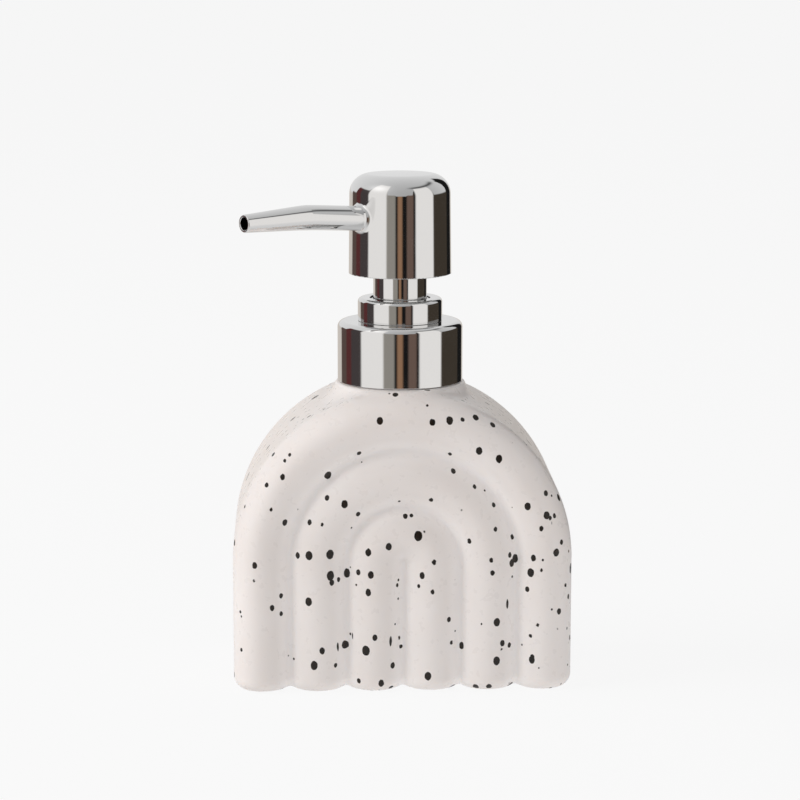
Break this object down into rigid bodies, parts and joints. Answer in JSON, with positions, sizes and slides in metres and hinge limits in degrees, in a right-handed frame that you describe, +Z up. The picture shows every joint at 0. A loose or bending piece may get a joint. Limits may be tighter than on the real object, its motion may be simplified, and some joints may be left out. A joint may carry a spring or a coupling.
{
  "type": "detergent dispenser bottle",
  "caption": "Ceramic arch-shaped bottle with banded faces and a screw-on hand pump that dispenses liquid detergent or soap.",
  "frame": {"origin": "centre of the foot, on the surface the bottle stands on", "axes": "+Z up along the pump's axis, -Y out of the front banded face, +X to the right seen from the front"},
  "size_m": [0.09, 0.0566, 0.1358],
  "materials": {
    "glaze": "satin off-white glaze on ceramic, with dark brown speckles",
    "chrome": "polished chrome plate",
    "white_plastic": "moulded, satin",
    "soft_plastic": "waxy, soft",
    "clear_plastic": "translucent, extruded",
    "steel": "drawn stainless steel",
    "seal": "moulded rubber"
  },
  "bodies": {
    "bottle": {"bottle": "glaze", "neck_insert": "white_plastic"},
    "pump": {"pump_housing": "white_plastic", "flange_gasket": "seal", "valve_cage": "white_plastic", "dip_tube": "clear_plastic", "chaplet_core": "white_plastic", "chaplet_shell": "chrome", "stem_wiper": "seal", "return_spring": "steel"},
    "closure": {"closure_core": "white_plastic", "closure_shell": "chrome"},
    "plunger": {"lower_stem": "white_plastic"},
    "piston": {"piston": "soft_plastic"},
    "head": {"upper_stem": "white_plastic", "stem_sleeve": "chrome", "head_core": "white_plastic", "head_shell": "chrome", "nozzle_liner": "clear_plastic"},
    "ball": {"check_ball": "steel"}
  },
  "joints": [
    {"name": "pump_lift", "type": "slide", "parent": "bottle", "child": "pump", "axis": [0, 0, 1], "range_m": [0, 0.0084]},
    {"name": "closure_turn", "type": "hinge", "parent": "pump", "child": "closure", "pos_m": [0, 0, 0.088], "axis": [0, 0, 1], "range_deg": [0, 720]},
    {"name": "head_press", "type": "slide", "parent": "pump", "child": "plunger", "axis": [0, 0, -1], "range_m": [0, 0.012], "stiffness_N_per_m": 700, "springref_m": -0.007, "deforming": ["return_spring"]},
    {"name": "head_swivel", "type": "hinge", "parent": "plunger", "child": "head", "pos_m": [0, 0, 0.11], "axis": [0, 0, 1], "continuous": true},
    {"name": "piston_slip", "type": "slide", "parent": "plunger", "child": "piston", "axis": [0, 0, 1], "range_m": [0, 0.0012]},
    {"name": "ball_lift", "type": "slide", "parent": "pump", "child": "ball", "axis": [0, 0, 1], "range_m": [0, 0.0015]}
  ],
  "couplings": [
    {"joint": "closure_turn", "follows": "pump_lift", "rad_per_m": 1496}
  ]
}
